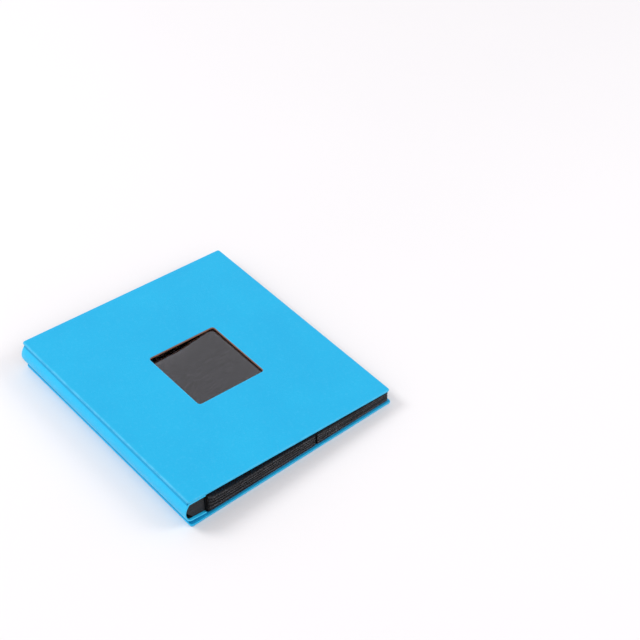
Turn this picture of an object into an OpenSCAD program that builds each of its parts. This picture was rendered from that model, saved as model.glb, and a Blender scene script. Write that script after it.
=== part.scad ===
// Hard-cover slip-in scrapbook album, closed and lying on its back cover.
// Book axes: X from spine to fore-edge, Y from tail to head, Z up.
// The frame's origin is at the bottom centre of the closed album.

/* [Covers] */
// Cover width, spine edge to fore-edge
cover_w = 300; // [220:1:360]
// Cover height, tail to head
cover_h = 334; // [300:1:380]
// Thickness of the cover board
board_t = 2.0; // [1.5:0.1:3]
// Thickness of the covering skin
skin_t = 0.5; // [0.3:0.1:0.8]
// Thickness of the turned-in skin and the lining
lining_t = 0.4; // [0.3:0.1:0.6]
// Inset of the lining panel from the cover edge
lining_inset = 2.4; // [1.5:0.1:5]
// Width of the turned-in skin
turn_in = 16; // [10:1:25]
// Radius of the cover corners
corner_r = 3.0; // [1.5:0.1:6]
// How far the back cover sits towards the tail
cover_shift = 2.7; // [0:0.1:4]
// Height of the front cover's upper face at the spine
top_z_spine = 39.6; // [37:0.1:46]
// Slope of the closed front cover, in degrees
cover_slope = 3.585; // [3.2:0.005:3.9]

/* [Window] */
// Window size along X
win_w = 97.5; // [60:0.5:110]
// Window size along Y
win_h = 100.5; // [60:0.5:120]
// Window corner radius
win_r = 4.0; // [1:0.5:8]
// Distance from the spine edge to the window
win_x = 104; // [80:0.5:120]
// Distance from the tail edge to the window
win_y = 116.6; // [90:0.1:130]

/* [Binding] */
// Number of leaves, one binding strip each
leaf_n = 30; // [30]
// How far the spine bulges past the cover edge
bulge = 5.0; // [2:0.1:6]
// Thickness of the spine board
spine_t = 1.2; // [0.8:0.1:1.6]
// X where the binding strips end and the leaves crease
strip_end = 24.0; // [20:0.1:28]
// Recess of the strips behind the tail edge
strip_recess = 4.0; // [2:0.1:8]

/* [Leaves] */
// Leaf height, tail to head
leaf_h = 326; // [290:1:330]
// Recess of the leaves behind the tail edge
leaf_recess = 0.4; // [0:0.1:6]
// X of the free edge of the leaves
leaf_end = 296.5; // [200:0.5:297]
// Thickness of one pocket leaf
leaf_t = 0.30; // [0.2:0.01:0.32]
// Column seam between the wide and the narrow pockets
seam_x = 185; // [150:1:200]

/* [Hidden] */
$fn = 64;
eps = 0.01;

blue = [0.13, 0.66, 0.93];
liner_blue = [0.06, 0.60, 0.88];
black = [0.06, 0.06, 0.07];
grey = [0.12, 0.12, 0.13];
card_brown = [0.55, 0.42, 0.33];

// Stack of one cover: skin, board, turned-in skin, lining
in_t = lining_t;
cov_t = skin_t + board_t + in_t + 0.4;      // 3.3
slope = tan(cover_slope);
// Under side of the closed front cover at a given x
function under(x) = top_z_spine - cov_t - slope * x;
back_top = cov_t;

// Spine sleeve: flange faces, outer arc
cloth_t = 0.35;
cloth_gap = 0.25;
function ft(x) = under(x) - cloth_gap - cloth_t;             // upper flange, outer face
function fb(x) = back_top + cloth_gap + cloth_t + 2.8 * (1 - x / strip_end);  // lower flange, outer face
sleeve_t = skin_t + spine_t;
arc_x = 1.5;
arc_hi = ft(arc_x);
arc_lo = fb(arc_x);
arc_c = (arc_hi - arc_lo) / 2;
arc_s = bulge + arc_x;
arc_r = (arc_c * arc_c + arc_s * arc_s) / (2 * arc_s);
arc_cx = arc_r - bulge;
arc_cz = (arc_hi + arc_lo) / 2;
flange_end = strip_end + 0.2;
arc_n = 40;
// X where the line z = p + q x meets the left side of the arc of radius r
function arc_hit(p, q, r) = let (a = 1 + q * q, b = 2 * (q * (p - arc_cz) - arc_cx),
    c = arc_cx * arc_cx + (p - arc_cz) * (p - arc_cz) - r * r) (-b - sqrt(b * b - 4 * a * c)) / (2 * a);
function arc_a(d) = let (x = arc_hit(ft(0) - d, ft(1) - ft(0), arc_r - d)) atan2(ft(x) - d - arc_cz, arc_cx - x);
function arc_b(d) = let (x = arc_hit(fb(0) + d, fb(1) - fb(0), arc_r - d)) atan2(fb(x) + d - arc_cz, arc_cx - x);
function arc_pts(d) = [for (k = [0:arc_n]) let (a = arc_a(d) + (arc_b(d) - arc_a(d)) * k / arc_n)
    [arc_cx - (arc_r - d) * cos(a), arc_cz + (arc_r - d) * sin(a)]];
function sleeve_path(d) = concat([[flange_end, ft(flange_end) - d]], arc_pts(d), [[flange_end, fb(flange_end) + d]]);
function rev(v) = [for (k = [len(v) - 1:-1:0]) v[k]];

// Binding strips: stack between the flanges
function zb(x) = fb(x) + sleeve_t;
function zt(x) = ft(x) - sleeve_t;
function strip_z(k, x) = zb(x) + (zt(x) - zb(x)) * k / leaf_n;
strip_gap = 0.12;
glue_t = 0.5;
strip_rr = arc_r - sleeve_t - glue_t - 0.30;
function strip_left(z) = arc_cx - sqrt(strip_rr * strip_rr - (z - arc_cz) * (z - arc_cz));

// Leaves: creases at the strip ends, then settling onto a thinner stack
crease_x = strip_end + 1.0;
leaf_start = crease_x + 0.2;
lk_x = [leaf_start, 27, 29, 34, 48, 105, 168, 235, leaf_end];
lk_b = [zb(strip_end), 3.95, 3.62, 3.55, 3.55, 3.55, 3.55, 3.55, 3.55];
lk_T = [zt(strip_end) - zb(strip_end), 26.9, 25.5, 22.45, 20.9, 18.9, 17.5, 15.8, 13.9];
lk_t = [0.10, 0.14, 0.20, leaf_t, leaf_t, leaf_t, leaf_t, leaf_t, leaf_t];
// k counts from the bottom leaf, 0 to leaf_n - 1
function leaf_z(k, j) = lk_b[j] + lk_T[j] * (k + 0.5) / leaf_n;

// Card pocket behind the window, in cover coordinates (u, v, w)
pk_u0 = win_x - 9; pk_u1 = win_x + win_w + 9;
pk_v0 = win_y - 9; pk_v1 = win_y + win_h + 10;
film_t = 0.2;
card_t = 0.5;
card_u0 = pk_u0 + 2.2; card_u1 = pk_u1 - 2.2;
card_v0 = pk_v0 + 2.2; card_v1 = pk_v1 - 1.0;
pk_w0 = -(skin_t + board_t);    // inner face of the board
pk_depth = 1.9;

frame_x = -(cover_w - bulge) / 2;
frame_y = -(cover_h - cover_shift) / 2;
module place() translate([frame_x, frame_y, 0]) children();

// Prism with its profile in XZ, running along Y from y0 to y1
module bar(pts, y0, y1) translate([0, y1, 0]) rotate([90, 0, 0]) linear_extrude(y1 - y0) polygon(pts);

// Rectangle with rounded corners
module rrect(w, h, r) {
    translate([r, 0]) square([w - 2 * r, h]);
    translate([0, r]) square([w, h - 2 * r]);
    for (x = [r, w - r]) for (y = [r, h - r]) translate([x, y]) circle(r);
}
// Flat plate in cover coordinates, from w0 up to w1, inset by m from the cover outline
module plate(m, w0, w1) translate([m, m, w0]) linear_extrude(w1 - w0)
    rrect(cover_wl - 2 * m, cover_h - 2 * m, max(corner_r - m, 1));
module window(m, w0, w1) translate([win_x - m, win_y - m, w0]) linear_extrude(w1 - w0)
    rrect(win_w + 2 * m, win_h + 2 * m, win_r + m);

cover_wl = cover_w / cos(cover_slope);
module front_place() place() translate([0, 0, top_z_spine]) rotate([0, cover_slope, 0]) children();
module back_place() place() translate([0, -cover_shift, 0]) mirror([0, 0, 1]) children();

// Covering skin: outer face, four edges and the turned-in border. Outer face at w = 0.
module cover_skin(wl) difference() {
    translate([0, 0, -(skin_t + board_t + in_t)]) linear_extrude(skin_t + board_t + in_t) rrect(wl, cover_h, corner_r);
    translate([skin_t, skin_t, -(skin_t + board_t)]) linear_extrude(board_t)
        rrect(wl - 2 * skin_t, cover_h - 2 * skin_t, corner_r - skin_t);
    translate([turn_in, turn_in, -(skin_t + board_t + in_t) - 1]) cube([wl - 2 * turn_in, cover_h - 2 * turn_in, in_t + 1.5]);
}
module cover_board(wl) translate([skin_t, skin_t, -(skin_t + board_t)]) linear_extrude(board_t)
    rrect(wl - 2 * skin_t, cover_h - 2 * skin_t, corner_r - skin_t);
// Lining panel with its centre pressed against the board
module cover_lining(wl) {
    translate([turn_in, turn_in, -(skin_t + board_t + in_t)]) cube([wl - 2 * turn_in, cover_h - 2 * turn_in, in_t]);
    translate([lining_inset, lining_inset, -cov_t]) cube([wl - 2 * lining_inset, cover_h - 2 * lining_inset, 0.4]);
}

module front_wrap() color(blue) front_place() difference() {
    cover_skin(cover_wl);
    window(0, -cov_t - 1, 1);
}
module front_board() color(card_brown) front_place() difference() {
    cover_board(cover_wl);
    window(0, -cov_t - 1, 1);
}
module front_liner() color(liner_blue) front_place() difference() {
    cover_lining(cover_wl);
    translate([pk_u0 - 0.3, pk_v0 - 0.3, -cov_t - 1]) cube([pk_u1 - pk_u0 + 0.6, pk_v1 - pk_v0 + 0.6, cov_t + 2]);
}
module back_wrap() color(blue) back_place() translate([0, 0, 0]) cover_skin(cover_w);
module back_board() color(card_brown) back_place() cover_board(cover_w);
module back_liner() color(liner_blue) back_place() cover_lining(cover_w);

// Clear film across the back of the window, glued to the board
module window_film() color([0.7, 0.75, 0.8, 0.4]) front_place()
    translate([pk_u0, pk_v0, pk_w0 - film_t]) cube([pk_u1 - pk_u0, pk_v1 - pk_v0, film_t]);
// Pocket back with welds on three sides, open towards the head
module window_pocket() color(grey) front_place() translate([0, 0, pk_w0 - pk_depth]) {
    translate([pk_u0, pk_v0, 0]) cube([pk_u1 - pk_u0, pk_v1 - pk_v0, 0.3]);
    translate([pk_u0, pk_v0, 0]) cube([1.5, pk_v1 - pk_v0, pk_depth - film_t]);
    translate([pk_u1 - 1.5, pk_v0, 0]) cube([1.5, pk_v1 - pk_v0, pk_depth - film_t]);
    translate([pk_u0, pk_v0, 0]) cube([pk_u1 - pk_u0, 1.5, pk_depth - film_t]);
}
// Loose dark card that slides out of the pocket towards the head
module window_card() color(black) front_place()
    translate([card_u0, card_v0, -cov_t - 0.1 - card_t]) cube([card_u1 - card_u0, card_v1 - card_v0, card_t]);

// Spine sleeve: covering skin outside, board inside
module spine_wrap() color(blue) place()
    bar(concat(sleeve_path(0), rev(sleeve_path(skin_t))), 0.5, cover_h - cover_shift);
module spine_board() color(card_brown) place()
    bar(concat(sleeve_path(skin_t), rev(sleeve_path(sleeve_t))), 1.0, cover_h - cover_shift - 0.5);
module spine_glue() color([0.85, 0.8, 0.6]) place()
    bar(concat(arc_pts(sleeve_t), rev(arc_pts(sleeve_t + glue_t))), strip_recess + 2, cover_h - cover_shift - 6);
module binding_strips() color(black) place()
    for (k = [0:leaf_n - 1])
        let (z0 = strip_z(k, 6), z1 = strip_z(k + 1, 6), xl = max(strip_left(strip_z(k, 0)), strip_left(strip_z(k + 1, 4))) + 0.05)
        bar([[xl, strip_z(k, xl) + strip_gap / 2], [strip_end, strip_z(k, strip_end) + strip_gap / 2],
             [strip_end, strip_z(k + 1, strip_end) - strip_gap / 2], [xl, strip_z(k + 1, xl) - strip_gap / 2]],
            strip_recess, strip_recess + 323.5);
// Hinge cloths glued to the sleeve flanges
module front_hinge_cloth() color(blue) place()
    bar([[2.6, ft(2.6)], [23, ft(23)], [23, ft(23) + cloth_t], [2.6, ft(2.6) + cloth_t]], 3, cover_h - cover_shift - 3);
module back_hinge_cloth() color(blue) place()
    bar([[2.6, fb(2.6) - cloth_t], [23, fb(23) - cloth_t], [23, fb(23)], [2.6, fb(2.6)]], 3, cover_h - cover_shift - 3);

// One pocket leaf, i counted from the top
module leaf(i) color(black) place()
    let (k = leaf_n - i, m = len(lk_x) - 1)
    bar(concat([for (j = [0:m]) [lk_x[j], leaf_z(k, j) - lk_t[j] / 2]],
               [for (j = [m:-1:0]) [lk_x[j], leaf_z(k, j) + lk_t[j] / 2]]),
        leaf_recess, leaf_recess + leaf_h);

spine_wrap();
spine_board();
spine_glue();
binding_strips();
front_hinge_cloth();
back_hinge_cloth();
front_wrap();
front_board();
front_liner();
window_film();
window_pocket();
window_card();
back_wrap();
back_board();
back_liner();
leaf(1);  // leaf_01
leaf(2);  // leaf_02
leaf(3);  // leaf_03
leaf(4);  // leaf_04
leaf(5);  // leaf_05
leaf(6);  // leaf_06
leaf(7);  // leaf_07
leaf(8);  // leaf_08
leaf(9);  // leaf_09
leaf(10);  // leaf_10
leaf(11);  // leaf_11
leaf(12);  // leaf_12
leaf(13);  // leaf_13
leaf(14);  // leaf_14
leaf(15);  // leaf_15
leaf(16);  // leaf_16
leaf(17);  // leaf_17
leaf(18);  // leaf_18
leaf(19);  // leaf_19
leaf(20);  // leaf_20
leaf(21);  // leaf_21
leaf(22);  // leaf_22
leaf(23);  // leaf_23
leaf(24);  // leaf_24
leaf(25);  // leaf_25
leaf(26);  // leaf_26
leaf(27);  // leaf_27
leaf(28);  // leaf_28
leaf(29);  // leaf_29
leaf(30);  // leaf_30
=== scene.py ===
import math

import bmesh
import bpy
import numpy as np
from mathutils import Matrix, Vector, noise


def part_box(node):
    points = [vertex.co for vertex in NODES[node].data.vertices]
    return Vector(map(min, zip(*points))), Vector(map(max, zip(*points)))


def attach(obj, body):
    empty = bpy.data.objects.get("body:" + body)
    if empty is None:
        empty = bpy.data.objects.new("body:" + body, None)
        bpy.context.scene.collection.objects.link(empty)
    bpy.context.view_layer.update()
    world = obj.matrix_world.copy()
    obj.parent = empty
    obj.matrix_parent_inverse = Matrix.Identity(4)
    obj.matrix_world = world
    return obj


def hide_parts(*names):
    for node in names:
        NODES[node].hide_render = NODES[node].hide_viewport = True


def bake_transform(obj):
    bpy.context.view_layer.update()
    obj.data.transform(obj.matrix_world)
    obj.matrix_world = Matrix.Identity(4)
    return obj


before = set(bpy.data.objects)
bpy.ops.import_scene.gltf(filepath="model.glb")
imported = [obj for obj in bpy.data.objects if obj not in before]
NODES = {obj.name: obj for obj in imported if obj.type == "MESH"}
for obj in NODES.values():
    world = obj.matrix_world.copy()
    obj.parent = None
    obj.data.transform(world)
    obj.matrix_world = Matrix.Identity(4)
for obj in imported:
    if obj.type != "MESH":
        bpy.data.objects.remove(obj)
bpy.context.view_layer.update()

# ---------------------------------------------------------------- album frame
# Album coordinates are millimetres: X from spine to fore-edge, Y from tail to head, Z up.
MM = 0.001
BACK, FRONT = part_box("back_wrap"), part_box("front_wrap")
AX, AY = BACK[0][0], FRONT[0][1]
COVER_W = round((BACK[1][0] - BACK[0][0]) / MM, 3)
COVER_H = round((FRONT[1][1] - FRONT[0][1]) / MM, 3)
SHIFT = round((FRONT[0][1] - BACK[0][1]) / MM, 3)
TOP = round(FRONT[1][2] / MM, 3)
SLOPE = math.radians(3.585)
SIN, COS = math.sin(SLOPE), math.cos(SLOPE)
COVER_WL = COVER_W / COS
COV_T = 3.3
CORNER = 3.0
WIN = (104.0, 116.6, 201.5, 217.1)
WIN_R = 4.0
LEAVES = 30


def row(p):
    """Album millimetres to the row frame, in metres."""
    p = np.asarray(p, float).reshape(-1, 3)
    return np.column_stack([AX + p[:, 0] * MM, AY + p[:, 1] * MM, p[:, 2] * MM])


def pt(x, y, z):
    return tuple(float(v) for v in row([(x, y, z)])[0])


def cover_pt(p):
    """Front cover coordinates (u, v, w), w = 0 at the outer face, to album millimetres."""
    p = np.asarray(p, float).reshape(-1, 3)
    return np.column_stack([p[:, 0] * COS + p[:, 2] * SIN, p[:, 1], TOP - p[:, 0] * SIN + p[:, 2] * COS])


def back_pt(p):
    """Back cover coordinates, w = 0 at the outer face underneath, to album millimetres."""
    p = np.asarray(p, float).reshape(-1, 3)
    return np.column_stack([p[:, 0], p[:, 1] - SHIFT, -p[:, 2]])


def nz(x, y, z=0.0):
    return noise.noise(Vector((x, y, z)))


# ---------------------------------------------------------------- mesh helpers
def build(name, verts, faces, mats, slots=None, sharp=38.0, attrs=None):
    """A mesh object from album millimetres, with outward normals and hard edges above the sharp angle."""
    me = bpy.data.meshes.new(name)
    me.from_pydata(row(verts).tolist(), [], [tuple(int(i) for i in f) for f in faces])
    for m in mats:
        me.materials.append(m)
    if slots is not None:
        me.polygons.foreach_set("material_index", np.asarray(slots, np.int32))
    if attrs:
        for key, values in attrs.items():
            a = me.attributes.new(key, "FLOAT", "POINT")
            a.data.foreach_set("value", np.asarray(values, np.float32))
    bm = bmesh.new()
    bm.from_mesh(me)
    bmesh.ops.recalc_face_normals(bm, faces=bm.faces)
    bm.to_mesh(me)
    bm.free()
    me.polygons.foreach_set("use_smooth", [True] * len(me.polygons))
    me.set_sharp_from_angle(angle=math.radians(sharp))
    me.update()
    ob = bpy.data.objects.new(name, me)
    bpy.context.scene.collection.objects.link(ob)
    return ob


def rr_loop(x0, y0, x1, y1, r, nc=6, nx=28, ny=30):
    """Points round a rounded rectangle, counter-clockwise, with the same count on each side at any size."""
    pts = []
    sides = [((x0 + r, y0), (x1 - r, y0), nx), ((x1, y0 + r), (x1, y1 - r), ny),
             ((x1 - r, y1), (x0 + r, y1), nx), ((x0, y1 - r), (x0, y0 + r), ny)]
    centres = [(x1 - r, y0 + r, -90), (x1 - r, y1 - r, 0), (x0 + r, y1 - r, 90), (x0 + r, y0 + r, 180)]
    for (a, b, n), (cx, cy, a0) in zip(sides, centres):
        for i in range(n):
            t = i / n
            pts.append((a[0] + (b[0] - a[0]) * t, a[1] + (b[1] - a[1]) * t))
        for i in range(nc):
            t = math.radians(a0 + 90 * i / nc)
            pts.append((cx + r * math.cos(t), cy + r * math.sin(t)))
    return np.array(pts)


def ring_faces(count, rings, closed=True):
    """Quads between rings of count points each. closed joins the last ring to the first."""
    out = []
    for r in range(rings if closed else rings - 1):
        s = (r + 1) % rings
        for i in range(count):
            j = (i + 1) % count
            out.append((r * count + i, r * count + j, s * count + j, s * count + i))
    return out


def grid_shell(xs, ys, top, bottom):
    """A closed sheet over a grid: top and bottom are arrays (len(xs), len(ys), 3). Returns vertices, faces and True for each rim face."""
    nx, ny = len(xs), len(ys)
    v = np.concatenate([top.reshape(-1, 3), bottom.reshape(-1, 3)])
    off = nx * ny
    f, rim = [], []
    for i in range(nx - 1):
        for j in range(ny - 1):
            a, b, c, d = i * ny + j, (i + 1) * ny + j, (i + 1) * ny + j + 1, i * ny + j + 1
            f.append((a, b, c, d)); rim.append(False)
            f.append((off + d, off + c, off + b, off + a)); rim.append(False)
    for i in range(nx - 1):
        for j, flip in ((0, False), (ny - 1, True)):
            a, b = i * ny + j, (i + 1) * ny + j
            q = (off + a, off + b, b, a)
            f.append(q[::-1] if flip else q); rim.append(True)
    for j in range(ny - 1):
        for i, flip in ((0, True), (nx - 1, False)):
            a, b = i * ny + j, i * ny + j + 1
            q = (off + a, off + b, b, a)
            f.append(q[::-1] if flip else q); rim.append(True)
    return v, f, rim


def smooth(t):
    t = np.clip(t, 0, 1)
    return t * t * (3 - 2 * t)


# ---------------------------------------------------------------- materials
class Mat:
    """A node material under construction."""

    def __init__(self, name):
        self.mat = bpy.data.materials.new(name)
        self.mat.use_nodes = True
        self.nt = self.mat.node_tree
        self.nt.nodes.clear()
        self.out = self.nt.nodes.new("ShaderNodeOutputMaterial")
        self.co = self.nt.nodes.new("ShaderNodeTexCoord").outputs["Object"]

    def node(self, kind, **kw):
        n = self.nt.nodes.new(kind)
        for k, v in kw.items():
            setattr(n, k, v)
        return n

    def link(self, a, b):
        self.nt.links.new(a, b)

    def noise(self, scale, detail=3.0, rough=0.5, vec=None, distortion=0.0):
        n = self.node("ShaderNodeTexNoise")
        n.inputs["Scale"].default_value = scale
        n.inputs["Detail"].default_value = detail
        n.inputs["Roughness"].default_value = rough
        n.inputs["Distortion"].default_value = distortion
        self.link(vec or self.co, n.inputs["Vector"])
        return n.outputs["Fac"]

    def voronoi(self, scale, feature="F1", vec=None, smoothness=0.4):
        n = self.node("ShaderNodeTexVoronoi", feature=feature)
        n.inputs["Scale"].default_value = scale
        if feature == "SMOOTH_F1":
            n.inputs["Smoothness"].default_value = smoothness
        self.link(vec or self.co, n.inputs["Vector"])
        return n.outputs["Distance"]

    def stretch(self, x, y, z):
        m = self.node("ShaderNodeMapping")
        m.inputs["Scale"].default_value = (x, y, z)
        self.link(self.co, m.inputs["Vector"])
        return m.outputs["Vector"]

    def warp(self, scale, amount):
        """Object coordinates pushed about by noise, so that cells lose their regular look."""
        n = self.node("ShaderNodeTexNoise")
        n.inputs["Scale"].default_value = scale
        n.inputs["Detail"].default_value = 2.0
        self.link(self.co, n.inputs["Vector"])
        s = self.node("ShaderNodeVectorMath", operation="MULTIPLY_ADD")
        self.link(n.outputs["Color"], s.inputs[0])
        s.inputs[1].default_value = (amount, amount, amount)
        self.link(self.co, s.inputs[2])
        return s.outputs["Vector"]

    def ramp(self, fac, lo, hi, a=0.0, b=1.0):
        r = self.node("ShaderNodeMapRange")
        r.inputs["From Min"].default_value = lo
        r.inputs["From Max"].default_value = hi
        r.inputs["To Min"].default_value = a
        r.inputs["To Max"].default_value = b
        self.link(fac, r.inputs["Value"])
        return r.outputs["Result"]

    def math(self, op, a, b=None):
        m = self.node("ShaderNodeMath", operation=op)
        for s, v in ((m.inputs[0], a), (m.inputs[1], b)):
            if v is None:
                continue
            if isinstance(v, (int, float)):
                s.default_value = v
            else:
                self.link(v, s)
        return m.outputs[0]

    def mix(self, fac, a, b):
        """Colour mix: a and b are colours or sockets."""
        m = self.node("ShaderNodeMix", data_type="RGBA")
        for s, v in ((m.inputs[0], fac), (m.inputs[6], a), (m.inputs[7], b)):
            if isinstance(v, (int, float)):
                s.default_value = v
            elif isinstance(v, tuple):
                s.default_value = v if len(v) == 4 else (*v, 1.0)
            else:
                self.link(v, s)
        return m.outputs[2]

    def attr(self, name):
        n = self.node("ShaderNodeAttribute", attribute_name=name)
        return n.outputs["Fac"]

    def bump(self, height, strength, distance, normal=None):
        b = self.node("ShaderNodeBump")
        b.inputs["Strength"].default_value = strength
        b.inputs["Distance"].default_value = distance
        self.link(height, b.inputs["Height"])
        if normal is not None:
            self.link(normal, b.inputs["Normal"])
        return b.outputs["Normal"]

    def principled(self, color, rough, normal=None, **consts):
        p = self.node("ShaderNodeBsdfPrincipled")
        for key, v in (("Base Color", color), ("Roughness", rough)):
            s = p.inputs[key]
            if isinstance(v, (int, float)):
                s.default_value = v
            elif isinstance(v, tuple):
                s.default_value = (*v, 1.0)
            else:
                self.link(v, s)
        if normal is not None:
            self.link(normal, p.inputs["Normal"])
        for k, v in consts.items():
            p.inputs[k.replace("_", " ")].default_value = v
        self.link(p.outputs["BSDF"], self.out.inputs["Surface"])
        return p


def leatherette(name, base, rough=0.40, grain=760.0, depth=0.00007, spec=0.32):
    """PVC-coated covering: a fine pebble grain with valleys, faint mottling, and lighter rounded edges, partly rubbed
    wear and partly painted highlight.
    """
    m = Mat(name)
    v = m.warp(420.0, 0.0011)
    cells = m.voronoi(grain, "SMOOTH_F1", v, 0.55)
    edge = m.voronoi(grain * 0.55, "DISTANCE_TO_EDGE", v)
    fine = m.noise(grain * 4.4, 3.0, 0.6)
    creases = m.ramp(edge, 0.0, 0.16, 0.0, 1.0)
    h = m.math("ADD", m.math("MULTIPLY", cells, -0.55), m.math("MULTIPLY", creases, 0.28))
    h = m.math("ADD", h, m.math("MULTIPLY", fine, 0.30))
    mottle = m.noise(14.0, 4.0, 0.55)
    speck = m.noise(260.0, 3.0, 0.6)
    dark = tuple(c * k for c, k in zip(base, (0.45, 0.86, 0.92)))
    pale = tuple(min(1.0, c * k + a) for c, k, a in zip(base, (1.0, 1.08, 1.06), (0.055, 0.05, 0.03)))
    c = m.mix(m.ramp(mottle, 0.35, 0.68, 0.0, 0.42), base, dark)
    c = m.mix(m.ramp(creases, 0.0, 0.7, 0.26, 0.0), c, dark)
    c = m.mix(m.ramp(speck, 0.52, 0.72, 0.0, 0.18), c, pale)
    # Edge lightening from the wear attribute: partly rubbed wear, partly painted highlight on the rounded edges.
    wear_and_painted_highlight = m.math("MULTIPLY", m.attr("wear_and_painted_highlight"), m.ramp(m.noise(95.0, 4.0, 0.65), 0.38, 0.66, 0.25, 1.0))
    c = m.mix(m.math("MULTIPLY", wear_and_painted_highlight, 0.8), c, pale)
    r = m.math("ADD", m.ramp(m.noise(38.0, 4.0, 0.6), 0.3, 0.7, rough - 0.05, rough + 0.07),
               m.math("MULTIPLY", wear_and_painted_highlight, -0.07))
    r = m.math("ADD", r, m.ramp(creases, 0.0, 1.0, 0.05, 0.0))
    n = m.bump(h, 0.42, depth * 4)
    n = m.bump(m.noise(22.0, 3.0, 0.5), 0.10, 0.0006, n)
    m.principled(c, r, n, Specular_IOR_Level=spec)
    return m.mat


def coated_paper(name, base, rough=0.34):
    """Printed and coated lining sheet: smooth, with fibre flecks and slight waviness."""
    m = Mat(name)
    fib = m.noise(900.0, 5.0, 0.7, m.stretch(1.0, 0.22, 1.0))
    low = m.noise(20.0, 3.0, 0.5)
    dark = tuple(c * 0.80 for c in base)
    c = m.mix(m.ramp(low, 0.35, 0.7, 0.0, 0.35), base, dark)
    c = m.mix(m.ramp(fib, 0.5, 0.8, 0.0, 0.25), c, dark)
    r = m.ramp(m.noise(60.0, 4.0, 0.6), 0.3, 0.7, rough - 0.04, rough + 0.08)
    n = m.bump(fib, 0.12, 0.00008)
    n = m.bump(low, 0.10, 0.0008, n)
    m.principled(c, r, n, Specular_IOR_Level=0.40)
    return m.mat


def raw_board(name, base, dark, layers=(1.0, 1.0, 9.0)):
    """Cut edge of binder's board: pressed fibre in layers, with loose fibres and specks."""
    m = Mat(name)
    lay = m.noise(520.0, 4.0, 0.65, m.stretch(*layers))
    fib = m.noise(1500.0, 6.0, 0.75)
    speck = m.voronoi(1300.0, "F1")
    c = m.mix(m.ramp(lay, 0.32, 0.68), dark, base)
    c = m.mix(m.ramp(fib, 0.45, 0.75, 0.0, 0.45), c, tuple(min(1, x * 1.5 + 0.02) for x in base))
    c = m.mix(m.ramp(speck, 0.0, 0.16, 0.5, 0.0), c, tuple(x * 0.45 for x in dark))
    h = m.math("ADD", m.math("MULTIPLY", lay, 0.6), m.math("MULTIPLY", fib, 0.4))
    m.principled(c, m.ramp(fib, 0.2, 0.8, 0.78, 0.95), m.bump(h, 0.5, 0.0003), Specular_IOR_Level=0.2)
    return m.mat


def black_card(name, base, lift, rough=0.62, stretch=(1.0, 1.0, 14.0), spec=0.32):
    """Cut edges of black card: fine parallel lines where the layers end, dusty and uneven."""
    m = Mat(name)
    lines = m.noise(420.0, 5.0, 0.7, m.stretch(*stretch))
    grit = m.noise(1600.0, 4.0, 0.7)
    low = m.noise(26.0, 3.0, 0.6)
    c = m.mix(m.ramp(lines, 0.38, 0.66), base, lift)
    c = m.mix(m.ramp(low, 0.35, 0.7, 0.0, 0.40), c, tuple(x * 0.5 for x in base))
    c = m.mix(m.ramp(grit, 0.58, 0.78, 0.0, 0.35), c, tuple(min(1, x * 1.7 + 0.01) for x in lift))
    h = m.math("ADD", m.math("MULTIPLY", lines, 0.6), m.math("MULTIPLY", grit, 0.4))
    m.principled(c, m.ramp(grit, 0.3, 0.7, rough - 0.08, rough + 0.12), m.bump(h, 0.35, 0.0002), Specular_IOR_Level=spec)
    return m.mat


def leaf_edge(name):
    """Cut edges of the pocket leaves: film and black card in fine lines, each leaf a little lighter or darker; the
    darker leaves, the seam notch and the block's start carry painted shade.
    """
    m = Mat(name)
    lines = m.noise(420.0, 5.0, 0.7, m.stretch(0.30, 0.30, 16.0))
    grit = m.noise(1500.0, 4.0, 0.7)
    low = m.noise(34.0, 3.0, 0.6)
    tone_with_painted_shade = m.math("MULTIPLY", m.attr("tone_with_painted_shade"), m.ramp(low, 0.25, 0.75, 0.7, 1.25))
    c = m.mix(m.math("POWER", tone_with_painted_shade, 1.7), (0.003, 0.003, 0.004), (0.400, 0.405, 0.435))
    c = m.mix(m.ramp(lines, 0.36, 0.66, 0.45, 0.0), c, (0.012, 0.012, 0.014))
    c = m.mix(m.ramp(grit, 0.60, 0.80, 0.0, 0.30), c, (0.24, 0.24, 0.26))
    h = m.math("ADD", m.math("MULTIPLY", lines, 0.6), m.math("MULTIPLY", grit, 0.4))
    m.principled(c, m.ramp(grit, 0.3, 0.7, 0.36, 0.55), m.bump(h, 0.35, 0.0002), Specular_IOR_Level=0.45)
    return m.mat


def pocket_film(name, base, rough=0.20):
    """Black card seen through clear film: glossy, with slow ripples, dust and faint rubbing."""
    m = Mat(name)
    ripple = m.noise(16.0, 2.0, 0.4, m.stretch(1.0, 0.5, 1.0))
    orange = m.noise(240.0, 2.0, 0.5)
    dust = m.noise(900.0, 4.0, 0.8)
    rub = m.noise(48.0, 5.0, 0.7, m.stretch(1.0, 3.5, 1.0))
    c = m.mix(m.ramp(m.noise(30.0, 3.0), 0.3, 0.7), base, tuple(x * 1.5 for x in base))
    c = m.mix(m.ramp(dust, 0.66, 0.82, 0.0, 0.30), c, (0.22, 0.22, 0.23))
    r = m.math("ADD", m.ramp(rub, 0.40, 0.72, rough - 0.05, rough + 0.16), m.math("MULTIPLY", m.attr("weld"), 0.22))
    n = m.bump(ripple, 0.25, 0.0022)
    n = m.bump(orange, 0.06, 0.0002, n)
    m.principled(c, r, n, Specular_IOR_Level=0.5, Coat_Weight=0.35, Coat_Roughness=0.12)
    return m.mat


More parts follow.
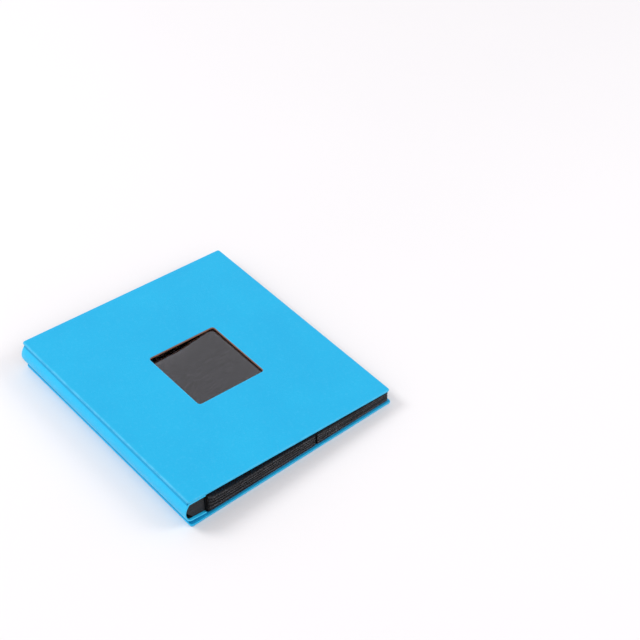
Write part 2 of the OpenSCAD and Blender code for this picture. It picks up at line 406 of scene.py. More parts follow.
def cloth(name, base):
    """Bookcloth of the hinges: a fine plain weave, filled and slightly shiny."""
    m = Mat(name)
    w1 = m.node("ShaderNodeTexWave", wave_type="BANDS", bands_direction="X")
    w2 = m.node("ShaderNodeTexWave", wave_type="BANDS", bands_direction="Y")
    for w in (w1, w2):
        w.inputs["Scale"].default_value = 420.0
        w.inputs["Distortion"].default_value = 0.6
        w.inputs["Detail"].default_value = 1.0
        m.link(m.co, w.inputs["Vector"])
    weave = m.math("MULTIPLY", w1.outputs["Fac"], w2.outputs["Fac"])
    low = m.noise(40.0, 3.0, 0.6)
    c = m.mix(m.ramp(weave, 0.1, 0.8), tuple(x * 0.72 for x in base), base)
    c = m.mix(m.ramp(low, 0.4, 0.7, 0.0, 0.3), c, tuple(x * 0.8 for x in base))
    m.principled(c, m.ramp(low, 0.3, 0.7, 0.5, 0.66), m.bump(weave, 0.35, 0.00015), Specular_IOR_Level=0.35)
    return m.mat


def glue_mat(name):
    # Near-black glue: painted shade for the gap between the sleeve and the strips.
    m = Mat(name)
    low = m.noise(70.0, 4.0, 0.6)
    c = m.mix(m.ramp(low, 0.3, 0.7), (0.016, 0.015, 0.014), (0.006, 0.006, 0.006))
    m.principled(c, m.ramp(low, 0.3, 0.7, 0.25, 0.45), m.bump(low, 0.4, 0.0008), Specular_IOR_Level=0.5)
    return m.mat


def window_film_mat(name):
    """Clear glossy film: see-through, with the sharp reflection of its two faces, faint scuffs and dust."""
    m = Mat(name)
    scuff = m.noise(130.0, 5.0, 0.75, m.stretch(1.0, 2.6, 1.0))
    dust = m.noise(1100.0, 3.0, 0.8)
    n = m.bump(m.noise(26.0, 2.0, 0.4), 0.04, 0.0012)
    fres = m.node("ShaderNodeFresnel")
    fres.inputs["IOR"].default_value = 1.52
    m.link(n, fres.inputs["Normal"])
    clear = m.node("ShaderNodeBsdfTransparent")
    m.link(m.mix(m.ramp(scuff, 0.4, 0.8, 0.0, 0.5), (0.96, 0.97, 0.98), (0.90, 0.91, 0.93)), clear.inputs["Color"])
    gloss = m.node("ShaderNodeBsdfGlossy")
    gloss.inputs["Color"].default_value = (0.94, 0.945, 1.0, 1.0)
    m.link(m.ramp(scuff, 0.46, 0.74, 0.03, 0.12), gloss.inputs["Roughness"])
    m.link(n, gloss.inputs["Normal"])
    speck = m.node("ShaderNodeBsdfDiffuse")
    speck.inputs["Color"].default_value = (0.55, 0.56, 0.58, 1.0)
    a = m.node("ShaderNodeMixShader")
    m.link(m.math("MULTIPLY", fres.outputs[0], 2.15), a.inputs[0])
    m.link(clear.outputs[0], a.inputs[1])
    m.link(gloss.outputs[0], a.inputs[2])
    b = m.node("ShaderNodeMixShader")
    m.link(m.ramp(dust, 0.70, 0.86, 0.0, 0.16), b.inputs[0])
    m.link(a.outputs[0], b.inputs[1])
    m.link(speck.outputs[0], b.inputs[2])
    m.link(b.outputs[0], m.out.inputs["Surface"])
    return m.mat


BLUE = (0.007, 0.450, 0.775)
M_SKIN = leatherette("blue_leatherette", BLUE)
M_SKIN_SPINE = leatherette("blue_leatherette_spine", (0.014, 0.560, 0.940), rough=0.38, grain=640.0, depth=0.00011)
# Darker copy of the blue leatherette for the front hinge: painted shade in the groove under the front cover's spine
# edge.
M_HINGE_PAINTED_SHADE = leatherette("hinge_leatherette_painted_shade", (0.006, 0.400, 0.730), rough=0.46, grain=640.0, depth=0.00011, spec=0.22)
# Darker copy of the blue leatherette for the back hinge: painted shade in the groove above the back cover's spine edge.
M_HINGE_BACK_PAINTED_SHADE = leatherette("hinge_back_leatherette_painted_shade", (0.005, 0.300, 0.580), rough=0.46, grain=640.0, depth=0.00011, spec=0.22)
M_LINER = coated_paper("blue_lining", (0.006, 0.320, 0.640))
# Dark blue for the lining's step wall: painted shade.
M_LINER_STEP_SHADE = coated_paper("blue_lining_step_painted_shade", (0.004, 0.115, 0.240), 0.6)
M_BOARD = raw_board("binders_board", (0.40, 0.215, 0.150), (0.20, 0.095, 0.065))
# Spine board coloured near black: painted shade for the dark crescent between the sleeve and the strips.
M_SPINE_BOARD_SHADE = raw_board("spine_board_painted_shade", (0.020, 0.019, 0.018), (0.007, 0.007, 0.007), (9.0, 1.0, 9.0))
M_STRIP = black_card("black_spacer_card", (0.012, 0.0125, 0.014), (0.046, 0.047, 0.052))
M_LEAF_EDGE = leaf_edge("leaf_cut_edge")
M_LEAF = pocket_film("leaf_film_on_black", (0.012, 0.012, 0.0135))
M_CLOTH = cloth("blue_bookcloth", (0.02, 0.43, 0.79))
M_GLUE = glue_mat("glue_painted_shade")
M_POCKET = pocket_film("black_pocket_back", (0.018, 0.018, 0.020), 0.34)
M_CARD = black_card("dark_window_card", (0.0042, 0.0042, 0.0048), (0.0065, 0.0065, 0.0072), 0.6, (1.0, 1.0, 1.0), 0.08)
M_FILM = window_film_mat("clear_window_film")


def paint(node, mat):
    """Gives a carried-over CAD node its finished material."""
    ob = NODES[node]
    ob.data.materials.clear()
    ob.data.materials.append(mat)


# ---------------------------------------------------------------- cover skins
def cover_skin(name, width, height, place, mat, window=None, seed=0.0, board_t=2.0, swell=0.10):
    """Covering skin round one board: outer face, rounded board edges, turned-in border, and its inner faces."""
    skin, full, turn = 0.5, 2.9, 16.0
    low = 2.76      # the turned-in skin is pressed a little below the lining
    re, rb = 1.15, 0.60
    nc = 7

    def out(m):
        return rr_loop(m, m, width - m, height - m, max(CORNER - m, 0.25) if m < CORNER else 0.25, nc)

    if window:
        wx0, wy0, wx1, wy1 = window
        gap = 0.32

        def inner(m):
            return rr_loop(wx0 - m, wy0 - m, wx1 + m, wy1 + m, WIN_R + m, nc)
        hole = [(inner(gap), -0.46), (inner(gap), -0.13), (inner(gap + 0.10), -0.03), (inner(gap + 0.32), 0.0)]
        start = inner(gap + 0.32)
    else:
        cx, cy = width / 2, height / 2

        def inner(m):
            return rr_loop(cx - 30 - m, cy - 30 - m, cx + 30 + m, cy + 30 + m, 8 + m, nc)
        hole = []
        start = inner(0)
    rings, wear_and_painted_highlight = [], []

    def add(loop, w, wr=0.0):
        w = np.full(len(loop), float(w)) if np.isscalar(w) else w
        rings.append(np.column_stack([loop, w]))
        wear_and_painted_highlight.append(np.full(len(loop), wr))

    for loop, w in hole:
        add(loop, w, 0.35 if w > -0.4 else 0.0)
    end = out(re)
    fs = [0.0] if not window else []
    fs += [0.012, 0.04, 0.09, 0.16, 0.24, 0.33, 0.43, 0.53, 0.63, 0.73, 0.82, 0.90, 0.955, 0.985]
    for f in fs:
        loop = start * (1 - f) + end * f
        amp = swell * min(1.0, 6 * f if window else 1.0) * min(1.0, 9 * (1 - f))
        w = np.array([amp * nz(p[0] / 62 + seed, p[1] / 57, seed) for p in loop])
        add(loop, w)
    for k in range(0, 7):
        a = math.radians(15 * k)
        add(out(re - re * math.sin(a)), -(re - re * math.cos(a)), 0.35 + 0.65 * math.sin(2 * a) if 0 < k < 6 else (0.2 if k == 0 else 0.6))
    add(out(0.0), -(full - rb) * 0.5 - re * 0.5, 0.55)
    for k in range(0, 5):
        a = math.radians(22.5 * k)
        add(out(rb - rb * math.cos(a)), -(full - rb) - rb * math.sin(a), 0.9 if 0 < k < 4 else 0.2)
    for m, w in ((1.5, -full), (2.1, -low - 0.03), (2.6, -low), (5.0, -low), (10.0, -low), (turn - 0.2, -low)):
        add(out(m), w)
    add(out(turn), -low + 0.10)
    add(out(turn), -(skin + board_t) - 0.02)
    add(out(skin + 0.03), -(skin + board_t) - 0.02)
    add(out(skin + 0.03), -skin + 0.04)
    if window:
        n = len(rings[0])
        verts = np.concatenate(rings)
        faces = ring_faces(n, len(rings), True)
        wr = np.concatenate(wear_and_painted_highlight)
    else:
        # close the outer face and the inner face with a fan of rings down to a small cap
        caps_in = []
        last = out(skin + 0.03)
        for f in (0.35, 0.7, 1.0):
            caps_in.append(np.column_stack([last * (1 - f) + start * f, np.full(len(last), -skin + 0.04)]))
        n = len(rings[0])
        allr = rings + caps_in
        verts = np.concatenate(allr)
        wr = np.concatenate(wear_and_painted_highlight + [np.zeros(n)] * len(caps_in))
        faces = ring_faces(n, len(allr), False)
        mid = verts.mean(axis=0)
        top_c = len(verts)
        verts = np.concatenate([verts, [[width / 2, height / 2, 0.0]], [[width / 2, height / 2, -skin + 0.04]]])
        wr = np.concatenate([wr, [0.0, 0.0]])
        for i in range(n):
            j = (i + 1) % n
            faces.append((j, i, top_c))
            b = (len(allr) - 1) * n
            faces.append((b + i, b + j, top_c + 1))
    # Painted highlight: the band along each cover's spine-side edge is lightened as if it caught the light.
    spine_edge_painted_highlight = smooth((2.2 - verts[:, 0]) / 1.4) * (verts[:, 2] > -2.6)
    ob = build(name, place(verts), faces, [mat], attrs={"wear_and_painted_highlight": np.clip(wr + 0.9 * spine_edge_painted_highlight, 0, 1.6)})
    return ob


def lining(name, width, height, place, mats, hole=None):
    """Lining sheet over the turned-in border: it shows the step where the turn-in ends, and its cut edge is slightly
    rounded. The step's wall is dark blue: painted shade along the step.
    """
    inset = 2.4
    nc = 3

    def out(m, r=0.35):
        return rr_loop(inset + m, inset + m, width - inset - m, height - inset - m, r, nc)

    if hole:
        x0, y0, x1, y1 = hole

        def inner(m):
            return rr_loop(x0 - m, y0 - m, x1 + m, y1 + m, 0.4 + m, nc)
    else:
        def inner(m):
            return rr_loop(width / 2 - 30, height / 2 - 30, width / 2 + 30, height / 2 + 30, 3.0, nc)
    deep = -3.06
    prof = [(out(0.12), -2.80), (out(0.0), -2.90), (out(0.0), -3.22), (out(0.10), -3.29), (out(0.30), -3.30), (out(3.0), -3.30),
            (out(8.0), -3.30), (out(12.9), -3.29), (out(13.7), -3.24), (out(14.6), -3.12), (out(15.6), deep)]
    base = out(15.6)
    s = inner(0.35)
    for f in (0.08, 0.2, 0.35, 0.5, 0.65, 0.8, 0.92):
        loop = base * (1 - f) + s * f
        w = np.array([deep + 0.05 * nz(p[0] / 40, p[1] / 44, 3.1) * min(1, 8 * f) * min(1, 8 * (1 - f)) for p in loop])
        prof.append((loop, w))
    prof.append((s, deep))
    if hole:
        prof += [(inner(0.08), deep + 0.06), (inner(0.0), deep + 0.14), (inner(0.0), -2.54), (inner(3.0), -2.54)]
        prof += [(out(13.9), -2.54), (out(13.8), -2.80)]
    rings = [np.column_stack([l, np.full(len(l), w) if np.isscalar(w) else w]) for l, w in prof]
    n = len(rings[0])
    if hole:
        verts, faces = np.concatenate(rings), ring_faces(n, len(rings), True)
    else:
        under = [np.column_stack([out(13.8), np.full(n, -2.80)]), np.column_stack([out(13.9), np.full(n, -2.54)]),
                 np.column_stack([s, np.full(n, -2.54)])]
        rings = under[::-1] + rings
        verts = np.concatenate(rings)
        faces = ring_faces(n, len(rings), False)
        c = len(verts)
        verts = np.concatenate([verts, [[width / 2, height / 2, -2.54], [width / 2, height / 2, deep]]])
        b = (len(rings) - 1) * n
        for i in range(n):
            j = (i + 1) % n
            faces.append((j, i, c))
            faces.append((b + i, b + j, c + 1))
    shift = 0 if hole else 3
    # Slot 1 is the step wall, coloured dark: painted shade.
    slots = [1 if shift <= i // n < shift + 2 and len(f) == 4 else 0 for i, f in enumerate(faces)]
    return build(name, place(verts), faces, mats, slots)


front_skin = cover_skin("front_cover_skin", COVER_WL, COVER_H, cover_pt, M_SKIN, WIN, 0.7)
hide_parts("front_wrap")
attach(front_skin, "front_cover")

back_skin = cover_skin("back_cover_skin", COVER_W, COVER_H, back_pt, M_SKIN, None, 5.3, swell=0.0)
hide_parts("back_wrap")
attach(back_skin, "back_cover")

POCKET = (95.0, 107.6, 210.5, 227.1)
front_lining = lining("front_cover_lining", COVER_WL, COVER_H, cover_pt, [M_LINER, M_LINER_STEP_SHADE],
                      (POCKET[0] - 0.3, POCKET[1] - 0.3, POCKET[2] + 0.3, POCKET[3] + 0.3))
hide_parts("front_liner")
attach(front_lining, "front_cover")

back_lining = lining("back_cover_lining", COVER_W, COVER_H, back_pt, [M_LINER, M_LINER_STEP_SHADE])
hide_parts("back_liner")
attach(back_lining, "back_cover")

paint("front_board", M_BOARD)
paint("back_board", M_BOARD)
paint("spine_glue", M_GLUE)


# ---------------------------------------------------------------- window film, pocket and card
def sag(u, v):
    """How far the film, card and pocket hang below their flat place, in mm: the open mouth at the head side droops, most towards the spine."""
    x0, y0, x1, y1 = WIN
    su = np.clip((u - x0) / (x1 - x0), 0, 1)
    d = y1 - v
    along = np.exp(-np.clip(d, 0, None) / 13.0) * smooth((POCKET[3] + 0.5 - v) / 9.5) * smooth((v - y0 + 4) / 30.0)
    side = smooth((u - POCKET[0] - 0.6) / 8.5) * (1 - 0.93 * smooth((su - 0.32) / 0.66)) * smooth((POCKET[2] - 1.0 - u) / 8.0)
    right = 0.85 * np.exp(-np.clip(x1 - u, 0, None) / 8.0) * smooth((POCKET[2] - u) / 8.5) * smooth((v - y0 + 6) / 14.0) * smooth((POCKET[3] + 0.5 - v) / 9.5)
    return 3.9 * along * side + right


def sheet(name, rect, w_top, thick, mats, use_sag, follow=1.0, nu=56, nv=58, edge_bulge=0.0):
    u0, v0, u1, v1 = rect
    xs, ys = np.linspace(u0, u1, nu), np.linspace(v0, v1, nv)
    U, V = np.meshgrid(xs, ys, indexing="ij")
    S = sag(U, V) * follow if use_sag else np.zeros_like(U)
    top = np.stack([U, V, w_top - S], -1)
    bot = np.stack([U, V, w_top - thick - S], -1)
    v, f, rim = grid_shell(xs, ys, top, bot)
    return build(name, cover_pt(v), f, mats)


film = sheet("window_clear_film", POCKET, -2.53, 0.16, [M_FILM], True)
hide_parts("window_film")
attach(film, "front_cover")

card_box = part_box("window_card")
CARD = (97.2, 109.8, 208.3, 226.1)
card = sheet("window_dark_card", CARD, -3.42, 0.45, [M_CARD], True, 1.0)
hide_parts("window_card")
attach(card, "window_card")


def pocket():
    """Pocket back with its welded rim on three sides: one closed skin, dished with the card."""
    u0, v0, u1, v1 = POCKET
    xs = np.array(sorted(set([u0, u0 + 0.5, u0 + 1.5, u0 + 2.0, u1 - 2.0, u1 - 1.5, u1 - 0.5, u1]) | set(np.linspace(u0 + 4, u1 - 4, 40))))
    ys = np.array(sorted(set([v0, v0 + 0.5, v0 + 1.5, v0 + 2.0, v1]) | set(np.linspace(v0 + 4, v1 - 1, 40))))
    U, V = np.meshgrid(xs, ys, indexing="ij")
    S = sag(U, V)
    near = np.minimum(np.minimum(U - u0, u1 - U), V - v0)
    rim = near < 1.6
    top = np.where(rim, -2.71, -4.10 - S)
    bulge = 0.20 * smooth(near / 12.0)
    bot = np.where(near < 0.2, -3.9, -4.28 - S - bulge)
    v, f, rimf = grid_shell(xs, ys, np.stack([U, V, top], -1), np.stack([U, V, bot], -1))
    weld = np.concatenate([rim.ravel(), rim.ravel()]).astype(float)
    return build("window_card_pocket", cover_pt(v), f, [M_POCKET], attrs={"weld": weld})


pocket_ob = pocket()
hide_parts("window_pocket")
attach(pocket_ob, "front_cover")


# ---------------------------------------------------------------- spine sleeve
CLOTH_T, CLOTH_GAP, STRIP_END = 0.35, 0.25, 24.0
SLEEVE_T, BULGE = 1.7, 5.0
TAN = math.tan(SLOPE)
BACK_TOP = COV_T


def under(x):
    return TOP - COV_T - TAN * x


def ft(x):
    return under(x) - CLOTH_GAP - CLOTH_T


def fb(x):
    return BACK_TOP + CLOTH_GAP + CLOTH_T + 2.8 * (1 - x / STRIP_END)


ARC_X = 1.5
ARC_C = (ft(ARC_X) - fb(ARC_X)) / 2
ARC_S = BULGE + ARC_X
ARC_R = (ARC_C ** 2 + ARC_S ** 2) / (2 * ARC_S)
ARC_CX, ARC_CZ = ARC_R - BULGE, (ft(ARC_X) + fb(ARC_X)) / 2
FLANGE_END = 24.2
HEAD = COVER_H - SHIFT


def sleeve_path():
    """Outer face of the sleeve in XZ with unit inward normals, from the upper flange's end round to the lower one's."""
    pts = [(x, ft(x)) for x in np.linspace(FLANGE_END, ARC_X, 14)[:-1]]
    a0 = math.atan2(ft(ARC_X) - ARC_CZ, ARC_CX - ARC_X)
    a1 = math.atan2(fb(ARC_X) - ARC_CZ, ARC_CX - ARC_X)
    for a in np.linspace(a0, a1, 49):
        pts.append((ARC_CX - ARC_R * math.cos(a), ARC_CZ + ARC_R * math.sin(a)))
    pts += [(x, fb(x)) for x in np.linspace(ARC_X, FLANGE_END, 14)[1:]]
    p = np.array(pts)
    t = np.gradient(p, axis=0)
    t /= np.linalg.norm(t, axis=1)[:, None]
    n = np.column_stack([-t[:, 1], t[:, 0]])      # left of the direction of travel
    c = np.array([14.0, 20.5])
    if ((c - p) * n).sum() < 0:
        n = -n
    return p, n


def sweep(name, loop, mats, rough_y=0.0, wear_fn=None, seed=0.0, slots=None):
    """Sweeps a closed loop of (y, depth) points along the sleeve's path, with flat ends at the flanges."""
    p, n = sleeve_path()
    loop = np.array(loop, float)
    k = len(loop)
    verts, wear_and_painted_highlight = [], []
    for i in range(len(p)):
        for (y, d) in loop:
            wob = 0.0
            if rough_y and 14 <= i <= len(p) - 15:
                s = math.sin(math.pi * (i - 13) / (len(p) - 26))
                wob = -rough_y * s * (0.5 + 0.5 * nz(y / 38, i / 12.0, seed))
            q = p[i] + n[i] * (d - wob * 0 + (rough_y * nz(y / 38, i / 12.0, seed) * (1 if 14 <= i <= len(p) - 15 else 0)))
            verts.append((q[0], y, q[1]))
            wear_and_painted_highlight.append(wear_fn(y, d) if wear_fn else 0.0)
    faces = []
    for i in range(len(p) - 1):
        for j in range(k):
            a, b = i * k + j, i * k + (j + 1) % k
            faces.append((a, b, b + k, a + k))
    faces.append(tuple(range(k))[::-1])
    faces.append(tuple((len(p) - 1) * k + j for j in range(k)))
    return build(name, np.array(verts), faces, mats, attrs={"wear_and_painted_highlight": wear_and_painted_highlight})


def sleeve_loop():
    y0, y1 = 0.5, HEAD
    r = 0.62
    loop = []
    for y in np.linspace(y0 + r, y1 - r, 46):
        loop.append((y, 0.0))
    for a in (22.5, 45, 67.5, 90):
        t = math.radians(a)
        loop.append((y1 - r + r * math.sin(t), r - r * math.cos(t)))
    for a in (22.5, 45, 67.5, 90):
        t = math.radians(a)
        loop.append((y1 - r + r * math.cos(t), SLEEVE_T - r + r * math.sin(t)))
    loop += [(y1 - 2.2, SLEEVE_T), (y1 - 3.4, SLEEVE_T), (y1 - 3.4, 1.36), (y1 - 0.5, 1.36), (y1 - 0.5, 0.45)]
    loop += [(y0 + 0.5, 0.45), (y0 + 0.5, 1.36), (y0 + 3.4, 1.36), (y0 + 3.4, SLEEVE_T), (y0 + 2.2, SLEEVE_T)]
    for a in (0, 22.5, 45, 67.5):
        t = math.radians(a)
        loop.append((y0 + r - r * math.sin(t), SLEEVE_T - r + r * math.cos(t)))
    for a in (0, 22.5, 45, 67.5):
        t = math.radians(a)
        loop.append((y0 + r - r * math.cos(t), r - r * math.sin(t)))
    return loop


# The sleeve's head and tail ends are lightened: partly rubbed wear, partly painted highlight.
sleeve = sweep("spine_sleeve_skin", sleeve_loop(), [M_SKIN_SPINE], 0.07,
               lambda y, d: 0.9 if (y < 1.3 or y > HEAD - 0.8) and d < 1.75 else 0.05, 2.2)
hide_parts("spine_wrap")
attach(sleeve, "book_block")

sleeve_board = sweep("spine_sleeve_board",
                     [(1.06, 0.48), (HEAD - 0.56, 0.48), (HEAD - 0.56, 1.33), (HEAD - 3.6, 1.33), (HEAD - 3.6, 1.66),
                      (4.1, 1.66), (4.1, 1.33), (1.06, 1.33)], [M_SPINE_BOARD_SHADE])
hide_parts("spine_board")
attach(sleeve_board, "book_block")


# ---------------------------------------------------------------- binding strips
def zb(x):
    return fb(x) + SLEEVE_T


def zt(x):
    return ft(x) - SLEEVE_T


def strip_z(k, x):
    return zb(x) + (zt(x) - zb(x)) * k / LEAVES


STRIP_R = ARC_R - SLEEVE_T - 0.5 - 0.35


def strip_left(z):
    return ARC_CX - math.sqrt(STRIP_R ** 2 - (z - ARC_CZ) ** 2)


def strips():
    verts, faces = [], []
    for k in range(LEAVES):
        xl = max(strip_left(strip_z(k, 0)), strip_left(strip_z(k + 1, 4))) + 0.9 + 3.6 * float(smooth((15 - k) / 13.0))
        ya = 4.0 + 0.35 * nz(k * 1.7, 0.3, 9.1)
        yb = 327.5 + 0.35 * nz(k * 1.3, 4.3, 2.1)
        xe = STRIP_END + 0.0
        xa = xl + 0.25 * abs(nz(k * 2.1, 1.3, 5.1))
        gap = 0.055
        b = 0.10
        prof = []
        for (x, top) in ((xa, False), (xe, False), (xe, True), (xa, True)):
            z = strip_z(k + (1 if top else 0), x) + (-gap if top else gap)
            prof.append((x, z))
        (x0, z0), (x1, z1), (x2, z2), (x3, z3) = prof
        sec = [(x0 + b, z0), (x1 - b, z1), (x1, z1 + b), (x2, z2 - b), (x2 - b, z2), (x3 + b, z3), (x3, z3 - b), (x0, z0 + b)]
        ys = [(ya, 0.07), (ya + 0.10, 0.0)] + [(y, 0.0) for y in np.linspace(ya + 20, yb - 20, 12)] + [(yb - 0.10, 0.0), (yb, 0.07)]
        base = len(verts)
        cx = sum(q[0] for q in sec) / 8
        cz = sum(q[1] for q in sec) / 8
        for (y, shrink) in ys:
            for (x, z) in sec:
                dx = -shrink if x > cx else shrink
                dz = -shrink if z > cz else shrink
                verts.append((x + dx, y, z + dz))
        for i in range(len(ys) - 1):
            for j in range(8):
                a, c = base + i * 8 + j, base + i * 8 + (j + 1) % 8
                faces.append((a, c, c + 8, a + 8))
        faces.append(tuple(base + j for j in range(8))[::-1])
        faces.append(tuple(base + (len(ys) - 1) * 8 + j for j in range(8)))
    return build("binding_strip_stack", np.array(verts), faces, [M_STRIP], sharp=30)


strip_ob = strips()
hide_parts("binding_strips")
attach(strip_ob, "book_block")


# ---------------------------------------------------------------- hinges
def hinge(name, path, normals_hint, thick, y0, y1, mats):
    """A strip of cloth that follows a path in XZ, with thickness, from tail to head."""
    p = np.array(path, float)
    t = np.gradient(p, axis=0)
    t /= np.maximum(np.linalg.norm(t, axis=1), 1e-9)[:, None]
    n = np.column_stack([-t[:, 1], t[:, 0]]) * normals_hint
    ys = np.linspace(y0, y1, 40)
    top = np.zeros((len(p), len(ys), 3))
    bot = np.zeros_like(top)
    for i in range(len(p)):
        for j, y in enumerate(ys):
            top[i, j] = (p[i, 0], y, p[i, 1])
            bot[i, j] = (p[i, 0] + n[i, 0] * thick, y, p[i, 1] + n[i, 1] * thick)
    v, f, rim = grid_shell(p[:, 0], ys, top, bot)
    return build(name, v, f, mats, sharp=60)


def sleeve_z(x, top=True):
    """Height of the sleeve's outer face, above or below its middle."""
    if x >= ARC_X:
        return ft(x) if top else fb(x)
    dz = math.sqrt(ARC_R ** 2 - (ARC_CX - x) ** 2)
    return ARC_CZ + dz if top else ARC_CZ - dz


def front_hinge():
    """Glued to the sleeve's flange and shoulder, then free up to the cover's lower edge, then glued under the cover."""
    t = 0.16
    path = [(x, ft(x) + 0.03) for x in np.linspace(23.0, ARC_X, 16)]
    path += [(x, sleeve_z(x) + 0.04) for x in (1.1, 0.7, 0.35, 0.0, -0.3, -0.55)]
    z0, z1 = path[-1][1], TOP - 2.93
    lo, hi = ft(0.0) + 0.21, ft(0.0) + 0.38
    zs = list(np.linspace(z0, lo, 9)[1:-1]) + list(np.linspace(lo, hi, 15)) + list(np.linspace(hi, z1, 4)[1:])
    for z in zs:
        q = (z - z0) / (z1 - z0)
        path.append((-0.62 - 0.30 * math.sin(math.pi * q) + 0.50 * q ** 2, z))
    path += [(0.25, z1 - 0.01), (1.2, TOP - 2.93 - TAN * 1.2), (2.2, TOP - 2.93 - TAN * 2.2), (2.7, under(2.7) - 0.05)]
    path += [(x, under(x) - 0.03) for x in np.linspace(3.4, 13.0, 8)]
    # The hinge's darker leatherette is painted shade in the joint.
    return hinge("front_hinge_strip", path, -1.0, t, 2.2, HEAD - 1.6, [M_HINGE_PAINTED_SHADE])


fh = front_hinge()
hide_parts("front_hinge_cloth")
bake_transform(fh)


def back_hinge():
    """Glued under the sleeve's lower flange, then one taut span down the groove, then glued round the back cover's spine edge."""
    path = [(x, fb(x) - 0.03) for x in np.linspace(12.0, 2.2, 12)]
    path += [(1.70, 6.42), (1.25, 6.28), (0.85, 6.00), (0.58, 5.66), (0.44, 5.30)]
    path += [(0.40, 3.12), (0.20, 2.90), (0.03, 2.60), (-0.05, 2.15), (-0.05, 1.60), (-0.05, 1.00)]
    return hinge("back_hinge_strip", path, 1.0, 0.16, 2.2, HEAD - 1.6, [M_HINGE_BACK_PAINTED_SHADE, M_SKIN_SPINE])


bh = back_hinge()
# Faces below the back cover's top get the lighter spine leatherette: a painted highlight on the back cover's spine
# edge.
for face in bh.data.polygons:
    if face.center[2] < pt(0, 0, 3.15)[2]:
        face.material_index = 1
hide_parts("back_hinge_cloth")
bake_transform(bh)


# ---------------------------------------------------------------- leaves
LK_X = [25.2, 27, 29, 34, 48, 105, 168, 235, 296.5]
LK_B = [zb(STRIP_END), 3.95, 3.62, 3.55, 3.55, 3.55, 3.55, 3.55, 3.55]
LK_H = [zt(STRIP_END) - zb(STRIP_END), 26.9, 25.5, 22.45, 20.9, 18.9, 17.5, 15.8, 13.9]
LK_T = [0.10, 0.15, 0.24, 0.34, 0.34, 0.34, 0.34, 0.34, 0.34]
SEAM_X, LEAF_Y0, LEAF_H = 185.0, 0.4, 326.0


def lines(marks, step):
    """Grid lines that hit every mark, with extra ones at about the step between them."""
    out = []
    for a, b in zip(marks[:-1], marks[1:]):
        n = max(1, int(round((b - a) / step)))
        out += [a + (b - a) * i / n for i in range(n)]
    return np.array(out + [marks[-1]])


GX = lines([24.06, 24.5, 25.0, 25.5, 26.2, 27.0, 27.8, 29.0, 31.0, 34, 48, 105, 168, 183.2, 184.2, 185.8, 186.8, 235, 294.6, 295.5, 296.5], 14.0)
GY = lines([0.0, 0.5, 1.3, 2.0, 107.3, 108.1, 109.3, 110.1, 161.8, 162.5, 163.5, 164.2, 215.9, 216.7, 217.9, 218.7, 324.0, 324.7, 325.5, 326.0], 16.0)


def leaf_relief():
    """1 where the pocket's film stands off the card, 0 on a weld, over the grid."""
    X, Y = np.meshgrid(GX, GY, indexing="ij")
    rise = lambda d: smooth(np.clip(d, 0, None) / 0.9)
    left = X < SEAM_X
    g = np.where(left, rise(X - 26.6) * rise(184.25 - X), rise(X - 185.75) * rise(295.55 - X))
    g = g * rise(Y - 1.2) * rise(324.8 - Y)
    g1 = rise(np.abs(Y - 108.7) - 0.5) * rise(np.abs(Y - 217.3) - 0.5)
    g2 = rise(np.abs(Y - 163.0) - 0.4)
    return g * np.where(left, g1, g2)


RELIEF = leaf_relief()
WAVE = np.array([[nz(x / 66, y / 50, 0.7) * 0.26 + nz(x / 23, y / 31, 4.7) * 0.06 for y in GY] for x in GX])
WAVE *= smooth((GX - 26) / 40.0)[:, None]


SHADE = [0.10, 0.55, 0.85, 0.95, 0.55, 0.08, 0.04, 0.15, 0.75, 1.00, 0.90, 0.35, 0.05, 0.04, 0.45,
         0.90, 0.80, 0.30, 0.05, 0.04, 0.10, 0.65, 1.00, 0.95, 0.50, 0.06, 0.12, 0.60, 0.80, 0.35]


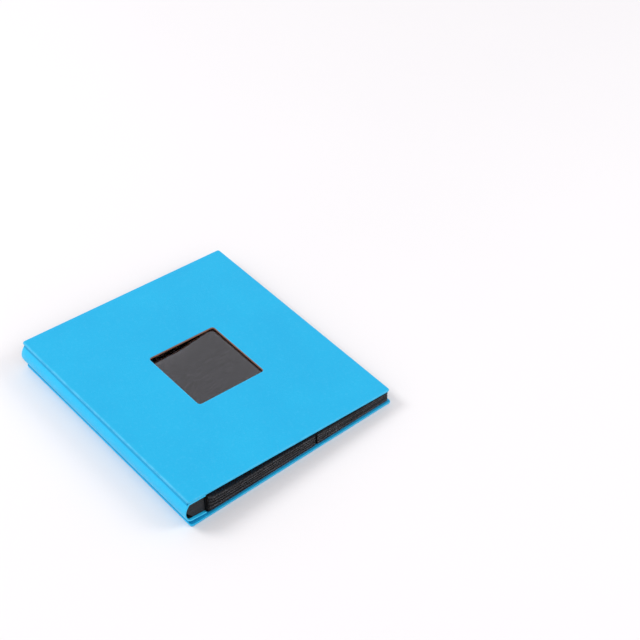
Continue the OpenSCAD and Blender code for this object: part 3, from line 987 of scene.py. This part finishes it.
def leaf(i):
    """Pocket leaf i, counted from the top: black card core with film pockets, three across and two tall."""
    k = LEAVES - i
    b, h, t = (np.interp(GX, LK_X, q) for q in (LK_B, LK_H, LK_T))
    mid = (b + h * (k + 0.5) / LEAVES)[:, None] + WAVE * (0.55 + 0.45 * k / LEAVES)
    own = np.array([[nz(x / 48 + i * 3.1, y / 60, i * 1.9) for y in GY] for x in GX]) * 0.035 * smooth((GX - 34) / 30.0)[:, None]
    mid = mid + own
    thick = t[:, None] * (0.42 + 0.58 * RELIEF)
    dy = 0.40 * nz(i * 1.37, 7.7, 0.2) + 0.75 * (0.5 - SHADE[i - 1])
    dx = 0.55 * nz(i * 2.11, 1.7, 5.2)
    tilt = 0.5 * nz(i * 0.91, 3.3, 8.8)
    X, Y = np.meshgrid(GX, GY, indexing="ij")
    fx = smooth((X - 60) / 200.0)
    px = X + dx * fx + tilt * fx * (Y - 163) / 163
    py = LEAF_Y0 + Y + dy * smooth((X - 26) / 12.0) - tilt * 0.6 * (X - 160) / 160 * smooth((X - 26) / 12.0)
    notch = np.exp(-((X - SEAM_X) / 1.25) ** 4) * 3.6
    py = py + np.where(Y < 0.8, notch, 0) - np.where(Y > 325.2, notch, 0)
    start = np.exp(-((X - 24.8) / 1.3) ** 4) * 0.9
    py = py + np.where(Y < 0.8, start, 0) - np.where(Y > 325.2, start, 0)
    top = np.stack([px, py, mid + thick / 2], -1)
    bot = np.stack([px, py, mid - thick / 2], -1)
    v, f, rim = grid_shell(GX, GY, top, bot)
    weld = 1.0 - np.concatenate([RELIEF.ravel(), RELIEF.ravel()])
    # Per-leaf tone: darkest on the recessed leaves, and zero at the block's start and at the seam notch: painted shade.
    tone_with_painted_shade = np.clip(SHADE[i - 1] + 0.55 * np.array([[nz(x / 70, i * 0.30, 3.3)] * len(GY) for x in GX]), 0.03, 1.0)
    tone_with_painted_shade *= (smooth((GX - 25.4) / 1.2) * (1 - np.exp(-((GX - SEAM_X) / 1.4) ** 4)))[:, None]
    tone_with_painted_shade = np.concatenate([tone_with_painted_shade.ravel(), tone_with_painted_shade.ravel()])
    ob = build("pocket_leaf_%02d" % i, v, f, [M_LEAF, M_LEAF_EDGE], [1 if r else 0 for r in rim], sharp=50, attrs={"weld": weld, "tone_with_painted_shade": tone_with_painted_shade})
    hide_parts("leaf_%02d" % i)
    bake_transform(ob)
    return ob


for i in range(1, LEAVES + 1):
    leaf(i)


# ---------------------------------------------------------------- floor, light, camera
def floor():
    m = Mat("studio_floor")
    low = m.noise(1.3, 3.0, 0.5)
    c = m.mix(m.ramp(low, 0.3, 0.7), (0.875, 0.868, 0.880), (0.895, 0.888, 0.898))
    m.principled(c, m.ramp(m.noise(6.0), 0.3, 0.7, 0.52, 0.62), None, Specular_IOR_Level=0.22)
    me = bpy.data.meshes.new("floor")
    s, z = 12.0, -0.0002
    me.from_pydata([(-s, -s, z), (s, -s, z), (s, s, z), (-s, s, z)], [], [(0, 1, 2, 3)])
    me.materials.append(m.mat)
    ob = bpy.data.objects.new("floor", me)
    bpy.context.scene.collection.objects.link(ob)
    return ob


floor()

scene = bpy.context.scene
world = bpy.data.worlds.new("studio")
scene.world = world
world.use_nodes = True
bg = world.node_tree.nodes.get("Background") or world.node_tree.nodes.new("ShaderNodeBackground")
bg.inputs["Color"].default_value = (1.0, 0.972, 0.99, 1.0)
bg.inputs["Strength"].default_value = 0.75


def area(name, loc, target, size, power, color=(1, 1, 1)):
    la = bpy.data.lights.new(name, "AREA")
    la.shape = "DISK"
    la.size = size
    la.energy = power
    la.color = color
    ob = bpy.data.objects.new(name, la)
    bpy.context.scene.collection.objects.link(ob)
    d = Vector(target) - Vector(loc)
    ob.matrix_world = Matrix.Translation(Vector(loc)) @ d.to_track_quat("-Z", "Y").to_matrix().to_4x4()
    return ob


area("key", (-1.2, 1.7, 2.1), (0, 0, 0), 1.2, 32)
area("right", (1.7, -1.5, 1.7), (0, 0, 0), 1.2, 17).data.specular_factor = 0.0
area("front", (-0.8, -2.4, 1.6), (0, 0, 0), 1.8, 5)

scene.view_settings.view_transform = "Standard"
scene.view_settings.look = "None"
scene.view_settings.exposure = 0.0
scene.view_settings.gamma = 1.0

cam_data = bpy.data.cameras.new("camera")
cam_data.sensor_width = 36.0
cam_data.sensor_fit = "HORIZONTAL"
cam_data.lens = 1616.96 / 640.0 * 36.0
cam_data.clip_start = 0.05
cam_data.clip_end = 60.0
cam = bpy.data.objects.new("camera", cam_data)
scene.collection.objects.link(cam)
right = Vector((0.76148767, -0.64815938, 0.00509349))
down = Vector((-0.44115759, -0.52401761, -0.72855030))
ahead = Vector((0.47488579, 0.55253503, -0.68497337))
rot = Matrix((right, -down, -ahead)).transposed().to_4x4()
eye = Vector(pt(-644.353, -969.489, 1402.719))
cam.matrix_world = Matrix.Translation(eye) @ rot
cam_data.shift_y = 0.4 / 640.0
scene.camera = cam
